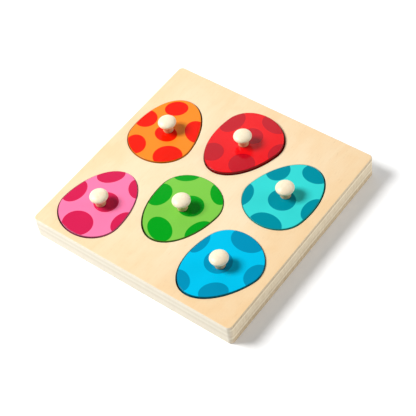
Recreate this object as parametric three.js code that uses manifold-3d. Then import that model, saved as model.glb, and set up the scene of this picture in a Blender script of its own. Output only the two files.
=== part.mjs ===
// Egg knob puzzle: a square plywood board with six egg-shaped recesses, and six loose painted
// eggs that are lifted out by turned wooden knobs. Millimetres, +Z up, with the origin at the
// middle of the board's underside.

import * as THREE from 'three';
import { mergeVertices } from 'three/addons/utils/BufferGeometryUtils.js';
import Module from 'manifold-3d';

// Board: a thin base sheet glued under a thick sheet that is sawn through for the eggs
const BASE_THICKNESS = 6;
const FRAME_THICKNESS = 18;
const BOARD_CORNER_RADIUS = 4.5;
const BOARD_EDGE_EASE = 1;
const RIM = 5.7;

// Eggs: two half ellipses that meet at the widest line
const EGG_LENGTH = 81;
const EGG_WIDTH = 65.5;
const EGG_BLUNT_LENGTH = 27.5;
const EGG_EDGE_EASE = 0.6;
const RECESS_GAP = 0.8;
const SEAT_GAP = 0.3;

// Knobs: a flattened ball on a short neck, with a tenon glued into the egg
const KNOB_HEIGHT = 14.5;
const KNOB_HEAD_DIAMETER = 17.5;
const KNOB_HEAD_HEIGHT = 8;
const KNOB_NECK_DIAMETER = 10;
const TENON_DIAMETER = 6;
const TENON_LENGTH = 10;
const TENON_CHAMFER = 0.6;
const GLUE_GAP = 0.3;

// Layout: three columns of two eggs, with the middle column set back from the outer two
const COLUMN_WEB = 1.9;
const ROW_WEB = 14.4;
const COLUMN_STAGGER = 14;

// Facets of the round forms: an arc of an outline or a profile gets twice its number
const EGG_ARC_FACETS = 12;
const CORNER_FACETS = 4;
const EASE_FACETS = 2;
const KNOB_FACETS = 24;
const HEAD_ARC_FACETS = 6;

const BOARD_THICKNESS = BASE_THICKNESS + FRAME_THICKNESS;
const RECESS_LENGTH = EGG_LENGTH + 2 * RECESS_GAP;
const RECESS_WIDTH = EGG_WIDTH + 2 * RECESS_GAP;
const COLUMN_PITCH = RECESS_WIDTH + COLUMN_WEB;
const ROW_PITCH = RECESS_LENGTH + ROW_WEB;
const EGG_TIP_LENGTH = EGG_LENGTH - EGG_BLUNT_LENGTH;
const WIDEST_LINE_X = EGG_BLUNT_LENGTH - EGG_LENGTH / 2;
const EGG_BOTTOM = BASE_THICKNESS + SEAT_GAP;

// Each egg's cell as a column and a row, its nudge off that place, the way its tip points in
// degrees from +X, how far it has slid in its recess as a share of the gap round it and turned in
// degrees, its knob's place from the middle of its widest line, how far its top stands above the
// board, and its paint
const EGGS = [
  {
    name: 'orange', cell: [-1, 1], nudge: [-2.2, 3.2],
    tip: 97, slid: [-0.2, -0.1], turned: 1.2, knob: [13.5, -1], proud: 1, paint: 0xff962d,
  },
  {
    name: 'red', cell: [0, 1], nudge: [1.5, -3],
    tip: 257.5, slid: [-0.4, 0.1], turned: 0, knob: [12, 1], proud: 2.6, paint: 0xfa3237,
  },
  {
    name: 'teal', cell: [1, 1], nudge: [0.8, -2.3],
    tip: 78, slid: [-0.4, -0.4], turned: 0, knob: [12.5, -1], proud: 1, paint: 0x28dcd7,
  },
  {
    name: 'pink', cell: [-1, -1], nudge: [-1, -3],
    tip: 87.5, slid: [0.4, 0.4], turned: 0, knob: [12, -1.5], proud: 1.2, paint: 0xff82b4,
  },
  {
    name: 'green', cell: [0, -1], nudge: [-2.2, 2.2],
    tip: 265.5, slid: [0.4, 0.4], turned: 0.6, knob: [11, 1], proud: 1, paint: 0x7dd246,
  },
  {
    name: 'blue', cell: [1, -1], nudge: [-3.5, -1.5],
    tip: 250, slid: [0.4, 0.4], turned: 0, knob: [12.5, 0.5], proud: 1.5, paint: 0x00c8fa,
  },
];

const PLY_COLOUR = 0xf6e3c0;
const KNOB_COLOUR = 0xf7e6c4;

const wasm = await Module();
wasm.setup();

function solidOf(geometry) {
  geometry.deleteAttribute('normal');
  geometry.deleteAttribute('uv');
  const merged = mergeVertices(geometry);
  return new wasm.Manifold(new wasm.Mesh({
    numProp: 3,
    vertProperties: new Float32Array(merged.attributes.position.array),
    triVerts: new Uint32Array(merged.index.array),
  }));
}

function geometryOf(solid) {
  const mesh = solid.getMesh();
  const geometry = new THREE.BufferGeometry();
  geometry.setAttribute('position', new THREE.BufferAttribute(mesh.vertProperties, mesh.numProp));
  geometry.setIndex(new THREE.BufferAttribute(mesh.triVerts, 1));
  geometry.computeVertexNormals();
  return geometry;
}

function namedMesh(name, geometry, color, roughness) {
  const material = new THREE.MeshStandardMaterial({ color, roughness, metalness: 0 });
  const mesh = new THREE.Mesh(geometry, material);
  mesh.name = name;
  return mesh;
}

// A sheet cut to an outline, from z = 0 up, with its upper and lower edges rounded over
function easedSheet(outline, thickness, ease, curveSegments) {
  const sheet = new THREE.ExtrudeGeometry(outline, {
    depth: thickness - 2 * ease,
    curveSegments,
    bevelThickness: ease,
    bevelSize: ease,
    bevelOffset: -ease,
    bevelSegments: EASE_FACETS,
  });
  return sheet.translate(0, 0, ease);
}

// An egg's outline about the middle of its length, tip towards +X, grown all round by a gap
function eggOutline(gap) {
  const halfWidth = EGG_WIDTH / 2 + gap;
  const outline = new THREE.Shape();
  outline.absellipse(WIDEST_LINE_X, 0, EGG_TIP_LENGTH + gap, halfWidth, -Math.PI / 2, Math.PI / 2);
  outline.absellipse(WIDEST_LINE_X, 0, EGG_BLUNT_LENGTH + gap, halfWidth, Math.PI / 2, 1.5 * Math.PI);
  return outline;
}

function recessCentre(egg) {
  const [column, row] = egg.cell;
  const stagger = column === 0 ? COLUMN_STAGGER : -COLUMN_STAGGER;
  return new THREE.Vector2(
    column * COLUMN_PITCH + egg.nudge[0],
    row * ROW_PITCH / 2 + stagger + egg.nudge[1],
  );
}

// The board's side leaves the rim outside the recess that reaches furthest
function boardSide() {
  const reaches = EGGS.map((egg) => {
    const centre = recessCentre(egg);
    const across = Math.abs(centre.x) + RECESS_WIDTH / 2;
    const along = Math.abs(centre.y) + RECESS_LENGTH / 2;
    return Math.max(across, along);
  });
  return 2 * (Math.max(...reaches) + RIM);
}

const BOARD_SIDE = boardSide();

function boardBlank() {
  const far = BOARD_SIDE / 2 - BOARD_CORNER_RADIUS;
  const outline = new THREE.Shape();
  outline.absarc(far, far, BOARD_CORNER_RADIUS, 0, Math.PI / 2);
  outline.absarc(-far, far, BOARD_CORNER_RADIUS, Math.PI / 2, Math.PI);
  outline.absarc(-far, -far, BOARD_CORNER_RADIUS, Math.PI, 1.5 * Math.PI);
  outline.absarc(far, -far, BOARD_CORNER_RADIUS, 1.5 * Math.PI, 2 * Math.PI);
  return solidOf(easedSheet(outline, BOARD_THICKNESS, BOARD_EDGE_EASE, CORNER_FACETS));
}

// A block wider than the board, with its lowest face at a given height
function slabFrom(bottom) {
  const block = new THREE.BoxGeometry(2 * BOARD_SIDE, 2 * BOARD_SIDE, BOARD_THICKNESS);
  return solidOf(block.translate(0, 0, bottom + BOARD_THICKNESS / 2));
}

function recessCutter(egg) {
  const centre = recessCentre(egg);
  const cutter = new THREE.ExtrudeGeometry(eggOutline(RECESS_GAP), {
    depth: BOARD_THICKNESS,
    curveSegments: EGG_ARC_FACETS,
    bevelEnabled: false,
  });
  cutter.rotateZ(THREE.MathUtils.degToRad(egg.tip - egg.turned));
  return solidOf(cutter.translate(centre.x, centre.y, BASE_THICKNESS / 2));
}

// The blank is parted at the glue line, and the upper sheet is sawn through for every egg
function frameBoard() {
  let frame = boardBlank().subtract(slabFrom(BASE_THICKNESS - BOARD_THICKNESS));
  for (const egg of EGGS) {
    frame = frame.subtract(recessCutter(egg));
  }
  return namedMesh('frame_board', geometryOf(frame), PLY_COLOUR, 0.6);
}

function baseBoard() {
  const base = boardBlank().subtract(slabFrom(BASE_THICKNESS));
  return namedMesh('base_board', geometryOf(base), PLY_COLOUR, 0.6);
}

function eggTop(egg) {
  return BOARD_THICKNESS + egg.proud;
}

// The egg stands on its seat with a blind hole for the knob's tenon in its top
function paintedEgg(egg) {
  const thickness = eggTop(egg) - EGG_BOTTOM;
  const body = easedSheet(eggOutline(0), thickness, EGG_EDGE_EASE, EGG_ARC_FACETS);
  const holeRadius = TENON_DIAMETER / 2 + GLUE_GAP;
  const holeDepth = TENON_LENGTH + GLUE_GAP;
  const hole = new THREE.CylinderGeometry(holeRadius, holeRadius, 2 * holeDepth, KNOB_FACETS);
  hole.rotateX(Math.PI / 2).translate(WIDEST_LINE_X + egg.knob[0], egg.knob[1], eggTop(egg));
  const drilled = solidOf(body.translate(0, 0, EGG_BOTTOM)).subtract(solidOf(hole));
  return namedMesh(`egg_${egg.name}`, geometryOf(drilled), egg.paint, 0.3);
}

// The knob's half profile runs up from the tenon's end, past the shoulder and neck, round the head
function turnedKnob(egg) {
  const tenonRadius = TENON_DIAMETER / 2;
  const neckRadius = KNOB_NECK_DIAMETER / 2;
  const headRadius = KNOB_HEAD_DIAMETER / 2;
  const headRise = KNOB_HEAD_HEIGHT / 2;
  const neckAngle = -Math.acos(neckRadius / headRadius);
  const profile = new THREE.Path();
  profile.moveTo(0, -TENON_LENGTH);
  profile.lineTo(tenonRadius - TENON_CHAMFER, -TENON_LENGTH);
  profile.lineTo(tenonRadius, TENON_CHAMFER - TENON_LENGTH);
  profile.lineTo(tenonRadius, 0);
  profile.lineTo(neckRadius, 0);
  profile.absellipse(0, KNOB_HEIGHT - headRise, headRadius, headRise, neckAngle, Math.PI / 2);
  const points = profile.getPoints(HEAD_ARC_FACETS);
  points[points.length - 1].x = 0;
  const turned = new THREE.LatheGeometry(points, KNOB_FACETS).rotateX(Math.PI / 2);
  const knob = namedMesh(`knob_${egg.name}`, geometryOf(solidOf(turned)), KNOB_COLOUR, 0.5);
  knob.position.set(WIDEST_LINE_X + egg.knob[0], egg.knob[1], eggTop(egg) + GLUE_GAP);
  return knob;
}

function eggWithKnob(egg) {
  const centre = recessCentre(egg);
  const piece = new THREE.Group();
  piece.add(paintedEgg(egg), turnedKnob(egg));
  piece.position.set(centre.x + egg.slid[0] * RECESS_GAP, centre.y + egg.slid[1] * RECESS_GAP, 0);
  piece.rotation.z = THREE.MathUtils.degToRad(egg.tip);
  return piece;
}

const puzzle = new THREE.Group();
puzzle.add(baseBoard(), frameBoard(), ...EGGS.map(eggWithKnob));

export default puzzle;
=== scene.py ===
"""Egg knob puzzle: a square plywood board with six spotted eggs that lift out by turned knobs.

Metres, in the frame of the solids: +Z up, with the origin at the middle of the board's underside.
"""

import math

import bmesh
import bpy
from mathutils import Matrix, Vector


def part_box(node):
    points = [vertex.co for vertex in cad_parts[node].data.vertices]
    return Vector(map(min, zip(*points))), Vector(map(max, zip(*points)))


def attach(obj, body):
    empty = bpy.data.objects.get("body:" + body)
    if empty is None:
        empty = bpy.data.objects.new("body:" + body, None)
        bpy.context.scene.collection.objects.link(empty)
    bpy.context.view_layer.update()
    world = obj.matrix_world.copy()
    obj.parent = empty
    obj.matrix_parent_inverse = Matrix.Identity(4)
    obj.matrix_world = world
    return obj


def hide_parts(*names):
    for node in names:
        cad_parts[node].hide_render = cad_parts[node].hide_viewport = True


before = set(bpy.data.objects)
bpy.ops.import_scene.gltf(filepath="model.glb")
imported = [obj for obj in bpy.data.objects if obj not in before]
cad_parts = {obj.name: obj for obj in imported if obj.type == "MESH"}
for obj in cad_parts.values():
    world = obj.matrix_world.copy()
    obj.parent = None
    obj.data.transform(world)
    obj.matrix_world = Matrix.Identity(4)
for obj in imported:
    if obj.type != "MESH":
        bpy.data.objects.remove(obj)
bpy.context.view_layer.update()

MM = 0.001

# Board
CORNER_RADIUS = 4.5 * MM
BOARD_EDGE_EASE = 1 * MM
RECESS_RIM_EASE = 0.25 * MM
GLUE_LINE_EASE = 0.25 * MM
CORNER_STEPS = 10
EASE_STEPS = 4

# Eggs, about the middle of their widest line with the tip towards +X
EGG_TIP_LENGTH = 53.5 * MM
EGG_BLUNT_LENGTH = 27.5 * MM
EGG_HALF_WIDTH = 32.75 * MM
EGG_EDGE_EASE = 0.6 * MM
RECESS_GAP = 0.8 * MM
EGG_SIDES = 128

# Knobs, as radii and heights from the shoulder that sits on the egg
KNOB_HEIGHT = 14.5 * MM
HEAD_RADIUS = 8.75 * MM
HEAD_RISE = 4 * MM
NECK_RADIUS = 5 * MM
NECK_FILLET = 0.6 * MM
SHOULDER_EASE = 0.4 * MM
TENON_RADIUS = 3 * MM
TENON_LENGTH = 10 * MM
TENON_CHAMFER = 0.6 * MM
GLUE_GAP = 0.3 * MM
KNOB_SIDES = 64
HEAD_STEPS = 24

# Meshes: how near two points are one, how level an edge is, and the angles that stay sharp
MERGE_DISTANCE = 0.001 * MM
LEVEL_TOLERANCE = 0.01 * MM
RIM_ANGLE = math.radians(60)
SHARP_ANGLE = math.radians(40)
FLAT_TOP = 0.99

# Each egg: the way its tip points in degrees from +X, how far it has slid and turned in its recess,
# its knob's place along and across from the middle of its widest line, the gloss and colours of its
# paint, the painted shade that darkens its sawn sides, and its spots as middle on the board, half sizes
# and turn, in millimetres and degrees
EGGS = {
    "orange": {
        "tip": 97, "slid": (-0.16, -0.08), "turned": 1.2, "knob": (13.5, -1),
        "gloss": 0.1, "paint": 0xF58C26, "spot_paint": 0xEE1802, "painted_side_shade": 0xDCDCDC,
        "spots": [
            (-80.5, 64, 11.5, 9.2, 35), (-45.5, 50, 14.5, 11, -35), (-98.5, 38.5, 11.5, 11, 0),
            (-86.5, 7.5, 12, 10, -45), (-50.8, 11.5, 14.3, 12.8, 25), (-69.5, 33, 11.5, 9.5, 0),
        ],
    },
    "red": {
        "tip": 257.5, "slid": (-0.32, 0.08), "turned": 0, "knob": (12, 1),
        "gloss": 0.3, "paint": 0xEC0814, "spot_paint": 0xC2021C, "painted_side_shade": 0x989898,
        "spots": [
            (13.5, 95.2, 14, 9.5, -12), (-23, 77.5, 10.5, 14.5, -8), (36.5, 68, 8.5, 11.5, 0),
            (-17, 37, 11, 11, 0), (15.5, 39.3, 12.4, 12.4, 0), (4, 72.5, 10.5, 9.5, 0),
        ],
    },
    "teal": {
        "tip": 78, "slid": (-0.32, -0.32), "turned": 0, "knob": (12.5, -1),
        "gloss": 0.06, "paint": 0x38D8D4, "spot_paint": 0x008FA1, "painted_side_shade": 0xBEBEBE,
        "spots": [
            (80, 66, 13.5, 10.5, 0), (48, 51.5, 11, 12, 0), (101, 30, 9.8, 13.7, 0),
            (36, 11.5, 10, 14, 12), (73.5, -5.5, 16, 12, 0), (70.5, 25, 13, 12, 0),
        ],
    },
    "pink": {
        "tip": 87.5, "slid": (0.32, 0.32), "turned": 0, "knob": (12, -1.5),
        "gloss": 0.14, "paint": 0xFE7EAC, "spot_paint": 0xD42052, "painted_side_shade": 0xBEBEBE,
        "spots": [
            (-81.7, -34.8, 13.6, 9.2, 45), (-49.5, -34.5, 12, 9, -45), (-99.5, -67.5, 11, 14, 0),
            (-36.5, -73, 10, 13, 0), (-72, -95.2, 15.2, 13.8, 0), (-65, -62.5, 12, 11.5, 0),
        ],
    },
    "green": {
        "tip": 265.5, "slid": (0.32, 0.32), "turned": 0.6, "knob": (11, 1),
        "gloss": 0.15, "paint": 0x7ECA4A, "spot_paint": 0x00A01A, "painted_side_shade": 0xA2A2A2,
        "spots": [
            (-21, 3.5, 13, 8, 35), (18, 0.5, 13, 8, -45), (-28.5, -29, 11, 13.5, 0),
            (27.8, -44, 9.5, 14, -15), (-3.6, -60.2, 15, 10.5, -27), (4.5, -24.5, 12.5, 12, 0),
        ],
    },
    "blue": {
        "tip": 250, "slid": (0.32, 0.32), "turned": 0, "knob": (12.5, 0.5),
        "gloss": 0.1, "paint": 0x00C1EB, "spot_paint": 0x0091B9, "painted_side_shade": 0x9A9A9A,
        "spots": [
            (71.5, -28.5, 16.5, 12.5, 0), (100.5, -56, 11, 13, 0), (35.5, -53, 8, 13, 0),
            (46, -95.5, 12, 9, -35), (78.6, -89.6, 13.3, 10.1, 45), (63, -61.5, 13, 12.5, 0),
        ],
    },
}

# Woods
VENEER = 0xFAE4C0
VENEER_DARK = 0xF3CA92
PORE = 0xC9B48E
FRONT_PLY = 0xF1E9D7
FRONT_PLY_DARK = 0xDACFB7
SIDE_PLY = 0xFCEFD4
SIDE_PLY_DARK = 0xD6BF9A
# Painted shade for the lower recess walls, where the narrow gaps lie in shade
RECESS_PAINTED_SHADE = 0x6A4E32
KNOB_WOOD = 0xFCEFD2
KNOB_WOOD_DARK = 0xFAE7C6
# Painted shade for the neck, which lies in the shade of the head
KNOB_NECK_SHADE = 0xE8CCB0

# The layers on the board's sawn edges, as heights in millimetres and tones from dark to light
BOARD_HEIGHT = 24
FRONT_TONES = [
    (0, 0.7), (3.5, 0.7), (6.5, 0.85), (9.5, 0.72), (11.2, 0.4), (14.5, 1), (17.5, 0.56),
    (19, 0.64), (21.5, 1.1), (23, 1), (24, 0.8),
]
SIDE_TONES = [
    (0, 0.1), (5.4, 0.16), (6.1, 0.05), (6.8, 0.6), (7.6, 0.9), (8.7, 0.85), (9.8, 0.4), (11, 0.4),
    (12.6, 0.68), (14.4, 0.48), (16.4, 0.58), (18, 0.42), (19.4, 0.92), (20.9, 0.95), (21.4, 0),
    (23.1, 0), (23.5, 0.4), (23.8, 1), (24, 1),
]

# Grain along Y: turns per metre on each axis, and the noise levels between which an effect sets in
CLOUD_TURNS = (55, 28, 55)
CLOUD_LEVELS = (0.3, 0.7)
CLOUD_DISTORTION = 0.8
FIBRE_TURNS = (900, 22, 900)
FIBRE_LEVELS = (0.25, 0.75)
PORE_TURNS = (2400, 190, 2400)
PORE_LEVELS = (0.66, 0.74)
NOISE_MIDDLE = 0.5

# Face veneer: where it grows warmer towards the rim and towards one side, and how much each effect does
RIM_REACH = (50 * MM, 112 * MM)
RIM_WARMTH = 0.28
WARM_SIDE = (1, -0.3, 0)
WARM_SIDE_REACH = (40 * MM, 110 * MM)
WARM_SIDE_WARMTH = 0.24
VENEER_CLOUD = 0.24
VENEER_FIBRE = 0.06
VENEER_PORE = 0.2

# Sawn edges: how far the layers wander, the fibres across them, and where painted shade darkens the
# recess walls, by reach from the board's middle and by height
LAYER_WANDER = 0.5 * MM
WANDER_TURNS = (60, 60, 60)
EDGE_FIBRE_TURNS = (700, 700, 110)
FRONT_FIBRE = 0.4
RECESS_SHADE_REACH = (110 * MM, 108 * MM)
RECESS_SHADE_HEIGHTS = (23 * MM, 21.5 * MM)

# Facing: the upward parts of a normal between which a face comes to count as up or as quite level,
# and a tiny share that keeps a division off zero
UP_SLOPES = (0.82, 0.94)
LEVEL_SLOPES = (0.93, 0.99)
TINY = 0.0001

# Paint film: the softness of a spot's edge, a fine ripple, and a slow drift of tone
SPOT_SOFTNESS = 0.015
RIPPLE_TURNS = (700, 700, 700)
DRIFT_TURNS = (45, 18, 45)
DRIFT_LOWEST = 0.97
DRIFT_RANGE = 0.06

# Knob wood: faint rings, pores, and the heights between which painted shade under the head darkens the
# neck
RING_TURNS = (260, 260, 12)
RING_LEVELS = (0.35, 0.7)
RING_DISTORTION = 0.4
KNOB_PORE = 0.25
NECK_SHADE_HEIGHTS = (34.5 * MM, 32 * MM)
TOOL_PITCH = 0.7 * MM

# Surfaces: roughness at the least, what the fibre or ripple adds to it, gloss, and depth of relief
PLY_ROUGHNESS = 0.42
PLY_ROUGHNESS_FIBRE = 0.16
PLY_GLOSS = 0.3
PLY_RELIEF = 0.03 * MM
PAINT_ROUGHNESS = 0.12
PAINT_ROUGHNESS_RIPPLE = 0.08
BARE_WOOD_ROUGHNESS = 0.25
PAINT_RELIEF = 0.02 * MM
PAINT_RELIEF_FIBRE = 0.3
KNOB_ROUGHNESS = 0.3
KNOB_ROUGHNESS_FIBRE = 0.16
KNOB_GLOSS = 0.4
KNOB_RELIEF = 0.02 * MM
KNOB_RELIEF_TOOLING = 0.2

# Camera, seen from the front right and above, with the horizon tilted a little
CAMERA_AIM = Vector((18.5, -17.4, 24)) * MM
CAMERA_DISTANCE = 1136 * MM
CAMERA_HEADING = math.radians(44.61)
CAMERA_HEIGHT_ANGLE = math.radians(51.13)
CAMERA_ROLL = math.radians(-9.92)
CAMERA_LENS = 108.7
SENSOR_WIDTH = 36

# Light: a soft box from the left, a weak fill from the right, a panel behind that the lacquer
# mirrors, and a pale room. Directions, then metres and watts
KEY_FROM = Vector((-0.58, -0.35, 0.745))
KEY_DISTANCE = 2
KEY_SIZE = 0.88
KEY_POWER = 45.8
FILL_FROM = Vector((0.75, 0.62, 0.24))
FILL_DISTANCE = 1.2
FILL_SIZE = 0.8
FILL_POWER = 5.2
PANEL_FROM = Vector((-0.62, 0.635, 0.46))
PANEL_DISTANCE = 0.9
PANEL_SIZE = 0.76
PANEL_POWER = 1.55
ROOM_LIGHT = 0.15

# Floor: a pale table top that glows a little, just under the board
FLOOR_SIZE = 8
FLOOR_DROP = 0.05 * MM
FLOOR_COLOUR = (0.96, 0.96, 0.96, 1)
FLOOR_ROUGHNESS = 0.9
FLOOR_GLOW = 0.15

WHITE = (1, 1, 1, 1)


def linear(hex_colour):
    """A colour written as 0xRRGGBB, as the linear values with alpha that a shader socket takes."""
    shares = [(hex_colour >> shift & 0xFF) / 255 for shift in (16, 8, 0)]
    curved = [s / 12.92 if s <= 0.04045 else ((s + 0.055) / 1.055) ** 2.4 for s in shares]
    return (*curved, 1)


# Shader node helpers

def add(tree, kind, inputs=None, **settings):
    """Adds a node, sets its own settings, and sets or links its inputs."""
    node = tree.nodes.new(kind)
    for key, value in settings.items():
        setattr(node, key, value)
    for socket, value in (inputs or {}).items():
        if isinstance(value, bpy.types.NodeSocket):
            tree.links.new(value, node.inputs[socket])
        else:
            node.inputs[socket].default_value = value
    return node


def maths(tree, operation, first, second=0.0):
    """One step of arithmetic on values."""
    return add(tree, "ShaderNodeMath", {0: first, 1: second}, operation=operation).outputs[0]


def vector_maths(tree, operation, first, second=(0, 0, 0)):
    """One step of arithmetic on vectors, as a vector, or as a value for a length or a product."""
    node = add(tree, "ShaderNodeVectorMath", {0: first, 1: second}, operation=operation)
    return node.outputs["Value" if operation in ("LENGTH", "DOT_PRODUCT") else "Vector"]


def ease_between(tree, value, low, high):
    """0 before low and 1 past high, with a smooth step between. Low may be the greater one."""
    inputs = {"Value": value, "From Min": low, "From Max": high}
    return add(tree, "ShaderNodeMapRange", inputs, interpolation_type="SMOOTHSTEP").outputs["Result"]


def mixed(tree, share, first, second, blend="MIX"):
    """Two colours mixed: sockets 6, 7 and 2 are the colour ones of a mix node."""
    inputs = {0: share, 6: first, 7: second}
    return add(tree, "ShaderNodeMix", inputs, data_type="RGBA", blend_type=blend).outputs[2]


def noise(tree, vector, turns, detail=2.0, distortion=0.0):
    """Noise whose scale is set along each axis, in turns per metre."""
    scaled = vector_maths(tree, "MULTIPLY", vector, turns)
    inputs = {"Vector": scaled, "Scale": 1.0, "Detail": detail, "Distortion": distortion}
    return add(tree, "ShaderNodeTexNoise", inputs).outputs["Fac"]


def parts_of(tree, vector):
    """The X, Y and Z of a vector, as sockets."""
    return add(tree, "ShaderNodeSeparateXYZ", {0: vector}).outputs


def new_group(name, inputs, outputs):
    """A shader node group with named sockets, as its tree and its inner ends."""
    tree = bpy.data.node_groups.new(name, "ShaderNodeTree")
    for socket, kind in inputs.items():
        tree.interface.new_socket(socket, in_out="INPUT", socket_type=kind)
    for socket, kind in outputs.items():
        tree.interface.new_socket(socket, in_out="OUTPUT", socket_type=kind)
    return tree, tree.nodes.new("NodeGroupInput").outputs, tree.nodes.new("NodeGroupOutput").inputs


def placed(tree, group, inputs=None):
    """A group placed in a material with its own values."""
    return add(tree, "ShaderNodeGroup", inputs, node_tree=group).outputs


FLOAT = "NodeSocketFloat"
VECTOR = "NodeSocketVector"


def wood_grain_group():
    """Grain along Y: broad clouds of tone, fine fibre, and short open pores."""
    tree, given, out = new_group(
        "wood grain", {"Vector": VECTOR}, {"Cloud": FLOAT, "Fibre": FLOAT, "Pore": FLOAT})
    cloud = noise(tree, given["Vector"], CLOUD_TURNS, detail=4, distortion=CLOUD_DISTORTION)
    fibre = noise(tree, given["Vector"], FIBRE_TURNS, detail=3)
    pore = noise(tree, given["Vector"], PORE_TURNS, detail=1)
    tree.links.new(ease_between(tree, cloud, *CLOUD_LEVELS), out["Cloud"])
    tree.links.new(fibre, out["Fibre"])
    tree.links.new(ease_between(tree, pore, *PORE_LEVELS), out["Pore"])
    return tree


def layer_tone(tree, share, tones):
    """The tone at a share of the board's height, on a ramp that starts with two stops of its own."""
    ramp = add(tree, "ShaderNodeValToRGB", {"Fac": share})
    stops = ramp.color_ramp.elements
    for _ in tones[2:]:
        stops.new(1)
    for stop, (level, tone) in zip(stops, tones):
        stop.position = level / BOARD_HEIGHT
        stop.color = (tone, tone, tone, 1)
    return add(tree, "ShaderNodeRGBToBW", {0: ramp.outputs["Color"]}).outputs[0]


def ply_layers_group():
    """The layers on the board's sawn edges by height, a little uneven, with fibres across them."""
    tree, given, out = new_group(
        "ply layers", {"Vector": VECTOR}, {"Front": FLOAT, "Side": FLOAT, "Fibre": FLOAT})
    height = parts_of(tree, given["Vector"])["Z"]
    wander = maths(tree, "SUBTRACT", noise(tree, given["Vector"], WANDER_TURNS), NOISE_MIDDLE)
    wander = maths(tree, "MULTIPLY", wander, LAYER_WANDER)
    share = maths(tree, "DIVIDE", maths(tree, "ADD", height, wander), BOARD_HEIGHT * MM)
    tree.links.new(layer_tone(tree, share, FRONT_TONES), out["Front"])
    tree.links.new(layer_tone(tree, share, SIDE_TONES), out["Side"])
    tree.links.new(noise(tree, given["Vector"], EDGE_FIBRE_TURNS, detail=3), out["Fibre"])
    return tree


def facing_group():
    """Which way the surface faces: up, quite level, down, or sideways along X."""
    tree, _, out = new_group(
        "facing", {}, {"Up": FLOAT, "Level": FLOAT, "Down": FLOAT, "Along X": FLOAT})
    parts = parts_of(tree, add(tree, "ShaderNodeNewGeometry").outputs["Normal"])
    tree.links.new(ease_between(tree, parts["Z"], *UP_SLOPES), out["Up"])
    tree.links.new(ease_between(tree, parts["Z"], *LEVEL_SLOPES), out["Level"])
    tree.links.new(ease_between(tree, parts["Z"], *(-slope for slope in UP_SLOPES)), out["Down"])
    across = maths(tree, "MULTIPLY", parts["X"], parts["X"])
    along = maths(tree, "MULTIPLY", parts["Y"], parts["Y"])
    sideways = maths(tree, "ADD", maths(tree, "ADD", across, along), TINY)
    tree.links.new(maths(tree, "DIVIDE", across, sideways), out["Along X"])
    return tree


def spot_group():
    """One spot of paint: an oval about a middle, with a clean edge."""
    inputs = {"Vector": VECTOR, "Middle": VECTOR, "Half Sizes": VECTOR, "Turn": FLOAT}
    tree, given, out = new_group("spot", inputs, {"Mask": FLOAT})
    from_middle = vector_maths(tree, "SUBTRACT", given["Vector"], given["Middle"])
    turn_back = maths(tree, "MULTIPLY", given["Turn"], -1.0)
    turned = add(
        tree, "ShaderNodeVectorRotate", {"Vector": from_middle, "Angle": turn_back},
        rotation_type="Z_AXIS").outputs["Vector"]
    shares = vector_maths(tree, "DIVIDE", turned, given["Half Sizes"])
    flat = vector_maths(tree, "MULTIPLY", shares, (1, 1, 0))
    reach = vector_maths(tree, "LENGTH", flat)
    mask = ease_between(tree, reach, 1 + SPOT_SOFTNESS, 1 - SPOT_SOFTNESS)
    tree.links.new(mask, out["Mask"])
    return tree


def paint_film_group():
    """A sprayed paint film: a fine ripple, and a slow drift of tone."""
    tree, given, out = new_group("paint film", {"Vector": VECTOR}, {"Ripple": FLOAT, "Drift": FLOAT})
    tree.links.new(noise(tree, given["Vector"], RIPPLE_TURNS), out["Ripple"])
    tree.links.new(noise(tree, given["Vector"], DRIFT_TURNS), out["Drift"])
    return tree


WOOD_GRAIN = wood_grain_group()
PLY_LAYERS = ply_layers_group()
FACING = facing_group()
SPOT = spot_group()
PAINT_FILM = paint_film_group()


# Materials

def new_material(name):
    """A material with only a surface shader and an output, as the material, tree and shader."""
    material = bpy.data.materials.new(name)
    material.use_nodes = True
    tree = material.node_tree
    tree.nodes.clear()
    shader = tree.nodes.new("ShaderNodeBsdfPrincipled")
    output = tree.nodes.new("ShaderNodeOutputMaterial")
    tree.links.new(shader.outputs["BSDF"], output.inputs["Surface"])
    return material, tree, shader


def object_place(tree):
    """The place on the piece, in metres from the origin."""
    return add(tree, "ShaderNodeTexCoord").outputs["Object"]


def bump(tree, height, distance):
    """The normal of a fine relief of some depth."""
    inputs = {"Height": height, "Distance": distance, "Strength": 1.0}
    return add(tree, "ShaderNodeBump", inputs).outputs["Normal"]


def roughened(tree, least, value, share):
    """A roughness that grows with a value over the surface."""
    return maths(tree, "ADD", least, maths(tree, "MULTIPLY", value, share))


def reach_from_middle(tree, place):
    """How far out a place on the board is, as the greater of its two distances along the sides."""
    parts = parts_of(tree, place)
    across = maths(tree, "ABSOLUTE", parts["X"])
    along = maths(tree, "ABSOLUTE", parts["Y"])
    return maths(tree, "MAXIMUM", across, along)


def veneer_colour(tree, place, grain):
    """The face veneer: pale, warmer towards the rim and one side, clouded, with fibre and pores."""
    rim = ease_between(tree, reach_from_middle(tree, place), *RIM_REACH)
    towards_side = vector_maths(tree, "DOT_PRODUCT", place, WARM_SIDE)
    side = ease_between(tree, towards_side, *WARM_SIDE_REACH)
    warm = maths(tree, "MULTIPLY", rim, RIM_WARMTH)
    warm = maths(tree, "ADD", warm, maths(tree, "MULTIPLY", side, WARM_SIDE_WARMTH))
    clouded = maths(tree, "ADD", warm, maths(tree, "MULTIPLY", grain["Cloud"], VENEER_CLOUD))
    face = mixed(tree, clouded, linear(VENEER), linear(VENEER_DARK))
    fibre = maths(tree, "MULTIPLY", ease_between(tree, grain["Fibre"], *FIBRE_LEVELS), VENEER_FIBRE)
    face = mixed(tree, fibre, face, linear(VENEER_DARK), "MULTIPLY")
    pore = maths(tree, "MULTIPLY", grain["Pore"], VENEER_PORE)
    return mixed(tree, pore, face, linear(PORE), "MULTIPLY")


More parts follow.
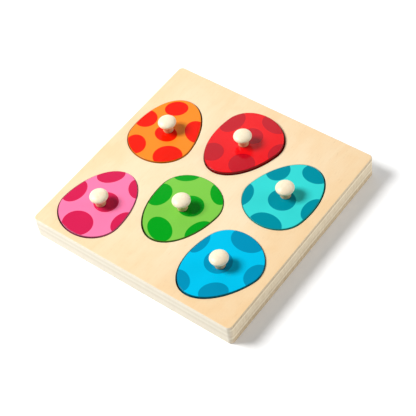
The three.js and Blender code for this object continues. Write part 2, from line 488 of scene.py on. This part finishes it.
def edge_colour(tree, place, facing):
    """The sawn edges: layers that are warmer on the sides, and painted shade on the lower recess walls.
    """
    layers = placed(tree, PLY_LAYERS, {"Vector": place})
    fibre = maths(tree, "SUBTRACT", layers["Fibre"], NOISE_MIDDLE)
    front_tone = maths(tree, "ADD", layers["Front"], maths(tree, "MULTIPLY", fibre, FRONT_FIBRE))
    side_tone = maths(tree, "ADD", layers["Side"], fibre)
    front = mixed(tree, front_tone, linear(FRONT_PLY_DARK), linear(FRONT_PLY))
    side = mixed(tree, side_tone, linear(SIDE_PLY_DARK), linear(SIDE_PLY))
    outer = mixed(tree, facing["Along X"], front, side)
    # Painted shade: the recess walls turn dark brown below the board's face, where the narrow gaps lie
    # in shade
    inside = ease_between(tree, reach_from_middle(tree, place), *RECESS_SHADE_REACH)
    deep = ease_between(tree, parts_of(tree, place)["Z"], *RECESS_SHADE_HEIGHTS)
    return mixed(tree, maths(tree, "MULTIPLY", inside, deep), outer, linear(RECESS_PAINTED_SHADE))


def plywood():
    """Plywood with a lacquered face veneer and pale layers on its sawn edges."""
    material, tree, shader = new_material("plywood")
    place = object_place(tree)
    facing = placed(tree, FACING)
    grain = placed(tree, WOOD_GRAIN, {"Vector": place})
    flat = maths(tree, "ADD", facing["Up"], facing["Down"])
    colour = mixed(tree, flat, edge_colour(tree, place, facing), veneer_colour(tree, place, grain))
    tree.links.new(colour, shader.inputs["Base Color"])
    rough = roughened(tree, PLY_ROUGHNESS, grain["Fibre"], PLY_ROUGHNESS_FIBRE)
    tree.links.new(rough, shader.inputs["Roughness"])
    shader.inputs["Specular IOR Level"].default_value = PLY_GLOSS
    height = maths(tree, "SUBTRACT", grain["Fibre"], grain["Pore"])
    tree.links.new(bump(tree, height, PLY_RELIEF), shader.inputs["Normal"])
    return material


def spots_mask(tree, place, spots):
    """Every spot of one egg, as one mask."""
    mask = None
    for x, y, half_x, half_y, turn in spots:
        one = placed(tree, SPOT, {
            "Vector": place,
            "Middle": (x * MM, y * MM, 0),
            "Half Sizes": (half_x * MM, half_y * MM, 1),
            "Turn": math.radians(turn),
        })["Mask"]
        mask = one if mask is None else maths(tree, "MAXIMUM", mask, one)
    return mask


def egg_paint(name, egg):
    """Satin paint with printed spots on the top, painted shade on the sides, and bare wood underneath.
    """
    material, tree, shader = new_material(f"{name} egg paint")
    place = object_place(tree)
    facing = placed(tree, FACING)
    film = placed(tree, PAINT_FILM, {"Vector": place})
    grain = placed(tree, WOOD_GRAIN, {"Vector": place})
    printed = maths(tree, "MULTIPLY", spots_mask(tree, place, egg["spots"]), facing["Up"])
    colour = mixed(tree, printed, linear(egg["paint"]), linear(egg["spot_paint"]))
    drift = maths(tree, "ADD", DRIFT_LOWEST, maths(tree, "MULTIPLY", film["Drift"], DRIFT_RANGE))
    tone = add(tree, "ShaderNodeCombineColor", {0: drift, 1: drift, 2: drift}).outputs["Color"]
    colour = mixed(tree, 1.0, colour, tone, "MULTIPLY")
    # Painted shade: the sides below the quite level top are darkened by each egg's own share
    side = maths(tree, "SUBTRACT", 1.0, maths(tree, "ADD", facing["Level"], facing["Down"]))
    colour = mixed(tree, side, colour, linear(egg["painted_side_shade"]), "MULTIPLY")
    colour = mixed(tree, facing["Down"], colour, veneer_colour(tree, place, grain))
    tree.links.new(colour, shader.inputs["Base Color"])
    rough = roughened(tree, PAINT_ROUGHNESS, film["Ripple"], PAINT_ROUGHNESS_RIPPLE)
    rough = roughened(tree, rough, facing["Down"], BARE_WOOD_ROUGHNESS)
    tree.links.new(rough, shader.inputs["Roughness"])
    shader.inputs["Specular IOR Level"].default_value = egg["gloss"]
    raised_fibre = maths(tree, "MULTIPLY", grain["Fibre"], PAINT_RELIEF_FIBRE)
    height = maths(tree, "ADD", film["Ripple"], raised_fibre)
    tree.links.new(bump(tree, height, PAINT_RELIEF), shader.inputs["Normal"])
    return material


def turned_wood():
    """Pale turned wood with upright grain and faint tool rings, under clear lacquer, with painted shade
    on the neck under the head.
    """
    material, tree, shader = new_material("turned knob wood")
    place = object_place(tree)
    upright = add(
        tree, "ShaderNodeMapping", {"Vector": place, "Rotation": (math.pi / 2, 0, 0)}).outputs[0]
    grain = placed(tree, WOOD_GRAIN, {"Vector": upright})
    rings = noise(tree, place, RING_TURNS, distortion=RING_DISTORTION)
    ringed = ease_between(tree, rings, *RING_LEVELS)
    colour = mixed(tree, ringed, linear(KNOB_WOOD), linear(KNOB_WOOD_DARK))
    pore = maths(tree, "MULTIPLY", grain["Pore"], KNOB_PORE)
    colour = mixed(tree, pore, colour, linear(PORE), "MULTIPLY")
    height = parts_of(tree, place)["Z"]
    # Painted shade: the neck under the head is darker
    neck = ease_between(tree, height, *NECK_SHADE_HEIGHTS)
    colour = mixed(tree, neck, colour, linear(KNOB_NECK_SHADE), "MULTIPLY")
    tree.links.new(colour, shader.inputs["Base Color"])
    rough = roughened(tree, KNOB_ROUGHNESS, grain["Fibre"], KNOB_ROUGHNESS_FIBRE)
    tree.links.new(rough, shader.inputs["Roughness"])
    shader.inputs["Specular IOR Level"].default_value = KNOB_GLOSS
    tooling = maths(tree, "SINE", maths(tree, "MULTIPLY", height, 2 * math.pi / TOOL_PITCH))
    tooling = maths(tree, "MULTIPLY", tooling, KNOB_RELIEF_TOOLING)
    relief = maths(tree, "ADD", grain["Fibre"], tooling)
    tree.links.new(bump(tree, relief, KNOB_RELIEF), shader.inputs["Normal"])
    return material


# Shapes

def edges_of(verts):
    """The edges that run between some vertices."""
    inside = set(verts)
    return list({e for v in verts for e in v.link_edges if set(e.verts) <= inside})


def verts_in(parts):
    """The vertices among the parts that an operator made."""
    return [part for part in parts if isinstance(part, bmesh.types.BMVert)]


def raised(bm, faces, height):
    """Draws flat faces up into a solid."""
    grown = bmesh.ops.extrude_face_region(bm, geom=faces)["geom"]
    bmesh.ops.translate(bm, vec=(0, 0, height), verts=verts_in(grown))
    bmesh.ops.recalc_face_normals(bm, faces=bm.faces[:])


def rounded_over(bm, edges, radius):
    """Rounds edges to a radius."""
    bmesh.ops.bevel(
        bm, geom=edges, offset=radius, segments=EASE_STEPS, profile=0.5,
        affect="EDGES", material=-1, clamp_overlap=False)


def rims(bm, height):
    """The sharp edges that lie level at a height."""
    level = [e for e in bm.edges if all(abs(v.co.z - height) < LEVEL_TOLERANCE for v in e.verts)]
    return [e for e in level if e.calc_face_angle(0) > RIM_ANGLE]


def on_outline(edge, half_side):
    """True for an edge on the board's outer sides."""
    middle = (edge.verts[0].co + edge.verts[1].co) / 2
    return max(abs(middle.x), abs(middle.y)) > half_side - CORNER_RADIUS / 2


def square_sheet(bm, half_side, bottom):
    """A flat square with rounded corners."""
    bmesh.ops.create_grid(
        bm, x_segments=1, y_segments=1, size=half_side, matrix=Matrix.Translation((0, 0, bottom)))
    bmesh.ops.bevel(
        bm, geom=bm.verts[:], offset=CORNER_RADIUS, segments=CORNER_STEPS, profile=0.5,
        affect="VERTICES", material=-1)


def knob_axis(name):
    """The middle of a knob's solid, through which its axis runs upright."""
    low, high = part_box(f"knob_{name}")
    return (low + high) / 2


def egg_place(name):
    """Carries an egg from its own middle to its place on the board."""
    turn = Matrix.Rotation(math.radians(EGGS[name]["tip"]), 4, "Z")
    axis = knob_axis(name)
    middle = Vector((axis.x, axis.y, 0)) - turn @ Vector((*EGGS[name]["knob"], 0)) * MM
    return Matrix.Translation(middle) @ turn


def recess_place(name):
    """Carries a recess to its place: the egg has slid and turned a little about mid-length in it."""
    slid = Matrix.Translation(Vector((*EGGS[name]["slid"], 0)) * MM)
    turned = Matrix.Rotation(math.radians(EGGS[name]["turned"]), 4, "Z")
    mid_length = Matrix.Translation(((EGG_TIP_LENGTH - EGG_BLUNT_LENGTH) / 2, 0, 0))
    return slid.inverted() @ egg_place(name) @ mid_length @ turned.inverted() @ mid_length.inverted()


def egg_ring(bm, matrix, grow, height):
    """An egg-shaped ring of edges: a circle whose two halves are drawn out to tip and blunt end."""
    ring = bmesh.ops.create_circle(bm, segments=EGG_SIDES, radius=1)["verts"]
    half_width = EGG_HALF_WIDTH + grow
    tip = [v for v in ring if v.co.x > 0]
    blunt = [v for v in ring if v.co.x <= 0]
    bmesh.ops.scale(bm, vec=(EGG_TIP_LENGTH + grow, half_width, 1), verts=tip)
    bmesh.ops.scale(bm, vec=(EGG_BLUNT_LENGTH + grow, half_width, 1), verts=blunt)
    bmesh.ops.transform(bm, matrix=matrix, verts=ring)
    bmesh.ops.translate(bm, vec=(0, 0, height), verts=ring)
    return ring


def finished_piece(name, bm, material, body, node):
    """Makes the shape a smooth-shaded piece that stands for a solid and moves with its body."""
    bmesh.ops.remove_doubles(bm, verts=bm.verts[:], dist=MERGE_DISTANCE)
    bmesh.ops.recalc_face_normals(bm, faces=bm.faces[:])
    mesh = bpy.data.meshes.new(name)
    bm.to_mesh(mesh)
    bm.free()
    mesh.shade_smooth()
    mesh.set_sharp_from_angle(angle=SHARP_ANGLE)
    mesh.materials.append(material)
    piece = bpy.data.objects.new(name, mesh)
    bpy.context.scene.collection.objects.link(piece)
    weighted = piece.modifiers.new("flat faces stay flat", "WEIGHTED_NORMAL")
    weighted.keep_sharp = True
    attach(piece, body)
    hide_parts(node)


def frame_sheet(material):
    """The thick sheet, sawn through for six eggs, with its outer edge and recess rims eased."""
    low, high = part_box("frame_board")
    bm = bmesh.new()
    square_sheet(bm, high.x, low.z)
    bmesh.ops.delete(bm, geom=bm.faces[:], context="FACES_ONLY")
    for name in EGGS:
        egg_ring(bm, recess_place(name), RECESS_GAP, low.z)
    bmesh.ops.triangle_fill(bm, use_beauty=True, edges=bm.edges[:])
    raised(bm, bm.faces[:], high.z - low.z)
    rounded_over(bm, [e for e in rims(bm, high.z) if on_outline(e, high.x)], BOARD_EDGE_EASE)
    rounded_over(bm, [e for e in rims(bm, high.z) if not on_outline(e, high.x)], RECESS_RIM_EASE)
    rounded_over(bm, [e for e in rims(bm, low.z) if on_outline(e, high.x)], GLUE_LINE_EASE)
    finished_piece("frame_sheet", bm, material, "board", "frame_board")


def base_sheet(material):
    """The thin sheet under it, eased at the foot and a little along the glue line."""
    low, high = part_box("base_board")
    bm = bmesh.new()
    square_sheet(bm, high.x, low.z)
    raised(bm, bm.faces[:], high.z - low.z)
    rounded_over(bm, rims(bm, low.z), BOARD_EDGE_EASE)
    rounded_over(bm, rims(bm, high.z), GLUE_LINE_EASE)
    finished_piece("base_sheet", bm, material, "board", "base_board")


def drilled(bm, name, top):
    """Drills the blind hole for the knob's tenon in an egg's flat top."""
    axis = knob_axis(name)
    face = max((f for f in bm.faces if f.normal.z > FLAT_TOP), key=lambda f: f.calc_area())
    outline = face.edges[:]
    bmesh.ops.delete(bm, geom=[face], context="FACES_ONLY")
    mouth = bmesh.ops.create_circle(
        bm, segments=KNOB_SIDES, radius=TENON_RADIUS + GLUE_GAP,
        matrix=Matrix.Translation((axis.x, axis.y, top)))["verts"]
    mouth_edges = edges_of(mouth)
    bmesh.ops.triangle_fill(bm, use_beauty=True, edges=outline + mouth_edges)
    floor = verts_in(bmesh.ops.extrude_edge_only(bm, edges=mouth_edges)["geom"])
    bmesh.ops.translate(bm, vec=(0, 0, -TENON_LENGTH - GLUE_GAP), verts=floor)
    bmesh.ops.contextual_create(bm, geom=edges_of(floor))


def painted_egg(name, egg):
    """One egg: sawn to its outline, eased at both edges and drilled for its knob."""
    low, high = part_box(f"egg_{name}")
    bm = bmesh.new()
    ring = egg_ring(bm, egg_place(name), 0, low.z)
    sole = bmesh.ops.contextual_create(bm, geom=edges_of(ring))["faces"]
    raised(bm, sole, high.z - low.z)
    rounded_over(bm, rims(bm, low.z) + rims(bm, high.z), EGG_EDGE_EASE)
    drilled(bm, name, high.z)
    finished_piece(
        f"{name}_egg_body", bm, egg_paint(name, egg), f"{name}_egg", f"egg_{name}")


def knob_profile(bm):
    """Draws the knob's half profile in the XZ plane, and gives the corners at shoulder and neck top."""
    head_middle = KNOB_HEIGHT - HEAD_RISE
    start = -math.acos(NECK_RADIUS / HEAD_RADIUS)
    turns = [start + (math.pi / 2 - start) * step / HEAD_STEPS for step in range(HEAD_STEPS + 1)]
    tenon = [
        (0, -TENON_LENGTH),
        (TENON_RADIUS - TENON_CHAMFER, -TENON_LENGTH),
        (TENON_RADIUS, TENON_CHAMFER - TENON_LENGTH),
        (TENON_RADIUS, 0),
    ]
    shoulder = [(NECK_RADIUS, 0)]
    head = [(HEAD_RADIUS * math.cos(t), head_middle + HEAD_RISE * math.sin(t)) for t in turns]
    head[-1] = (0, KNOB_HEIGHT)
    verts = [bm.verts.new((radius, 0, height)) for radius, height in tenon + shoulder + head]
    for lower, upper in zip(verts, verts[1:]):
        bm.edges.new((lower, upper))
    return verts[len(tenon)], verts[len(tenon) + 1]


def turned_knob(name, material):
    """One knob, turned from its profile, with its neck filleted into the head."""
    axis = knob_axis(name)
    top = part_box(f"knob_{name}")[1].z
    seat = Vector((axis.x, axis.y, top - KNOB_HEIGHT))
    bm = bmesh.new()
    shoulder, neck_top = knob_profile(bm)
    for corner, radius in ((shoulder, SHOULDER_EASE), (neck_top, NECK_FILLET)):
        bmesh.ops.bevel(
            bm, geom=[corner], offset=radius, segments=EASE_STEPS, profile=0.5,
            affect="VERTICES", material=-1)
    bmesh.ops.translate(bm, vec=seat, verts=bm.verts[:])
    bmesh.ops.spin(
        bm, geom=bm.verts[:] + bm.edges[:], cent=seat, axis=(0, 0, 1), angle=2 * math.pi,
        steps=KNOB_SIDES, use_merge=True)
    finished_piece(f"{name}_egg_knob", bm, material, f"{name}_egg", f"knob_{name}")


# Studio

def pale_floor():
    """The table top under the board, for the picture only."""
    mesh = bpy.data.meshes.new("floor")
    bm = bmesh.new()
    bmesh.ops.create_grid(bm, x_segments=1, y_segments=1, size=FLOOR_SIZE / 2)
    bmesh.ops.translate(bm, vec=(0, 0, -FLOOR_DROP), verts=bm.verts[:])
    bm.to_mesh(mesh)
    bm.free()
    material, _, shader = new_material("pale floor")
    shader.inputs["Base Color"].default_value = FLOOR_COLOUR
    shader.inputs["Roughness"].default_value = FLOOR_ROUGHNESS
    shader.inputs["Specular IOR Level"].default_value = 0
    shader.inputs["Emission Color"].default_value = WHITE
    shader.inputs["Emission Strength"].default_value = FLOOR_GLOW
    mesh.materials.append(material)
    floor = bpy.data.objects.new("floor", mesh)
    bpy.context.scene.collection.objects.link(floor)


def disk_lamp(name, toward, distance, size, power):
    """A round lamp at a distance in a direction, turned to face the origin."""
    light = bpy.data.lights.new(name, "AREA")
    light.shape = "DISK"
    light.size = size
    light.energy = power
    lamp = bpy.data.objects.new(name, light)
    lamp.location = toward.normalized() * distance
    lamp.rotation_euler = toward.to_track_quat("Z", "Y").to_euler()
    bpy.context.scene.collection.objects.link(lamp)


def studio_light():
    """Three lamps, and the pale room around them."""
    disk_lamp("soft box", KEY_FROM, KEY_DISTANCE, KEY_SIZE, KEY_POWER)
    disk_lamp("fill", FILL_FROM, FILL_DISTANCE, FILL_SIZE, FILL_POWER)
    disk_lamp("panel", PANEL_FROM, PANEL_DISTANCE, PANEL_SIZE, PANEL_POWER)
    world = bpy.data.worlds.new("pale room")
    world.use_nodes = True
    background = world.node_tree.nodes["Background"]
    background.inputs["Color"].default_value = WHITE
    background.inputs["Strength"].default_value = ROOM_LIGHT
    bpy.context.scene.world = world


def photo_camera():
    """A long lens above the front right-hand corner, aimed near the board's middle."""
    level = math.cos(CAMERA_HEIGHT_ANGLE)
    back = Vector((
        math.sin(CAMERA_HEADING) * level,
        -math.cos(CAMERA_HEADING) * level,
        math.sin(CAMERA_HEIGHT_ANGLE)))
    lens = bpy.data.cameras.new("camera")
    lens.lens = CAMERA_LENS
    lens.sensor_width = SENSOR_WIDTH
    camera = bpy.data.objects.new("camera", lens)
    turn = back.to_track_quat("Z", "Y").to_matrix().to_4x4()
    roll = Matrix.Rotation(CAMERA_ROLL, 4, "Z")
    camera.matrix_world = Matrix.Translation(CAMERA_AIM + back * CAMERA_DISTANCE) @ turn @ roll
    bpy.context.scene.collection.objects.link(camera)
    bpy.context.scene.camera = camera


def main():
    """Builds the puzzle, and the studio around it."""
    board_wood = plywood()
    frame_sheet(board_wood)
    base_sheet(board_wood)
    knob_wood = turned_wood()
    for name, egg in EGGS.items():
        painted_egg(name, egg)
        turned_knob(name, knob_wood)
    pale_floor()
    studio_light()
    photo_camera()
    bpy.context.scene.view_settings.view_transform = "Standard"


main()
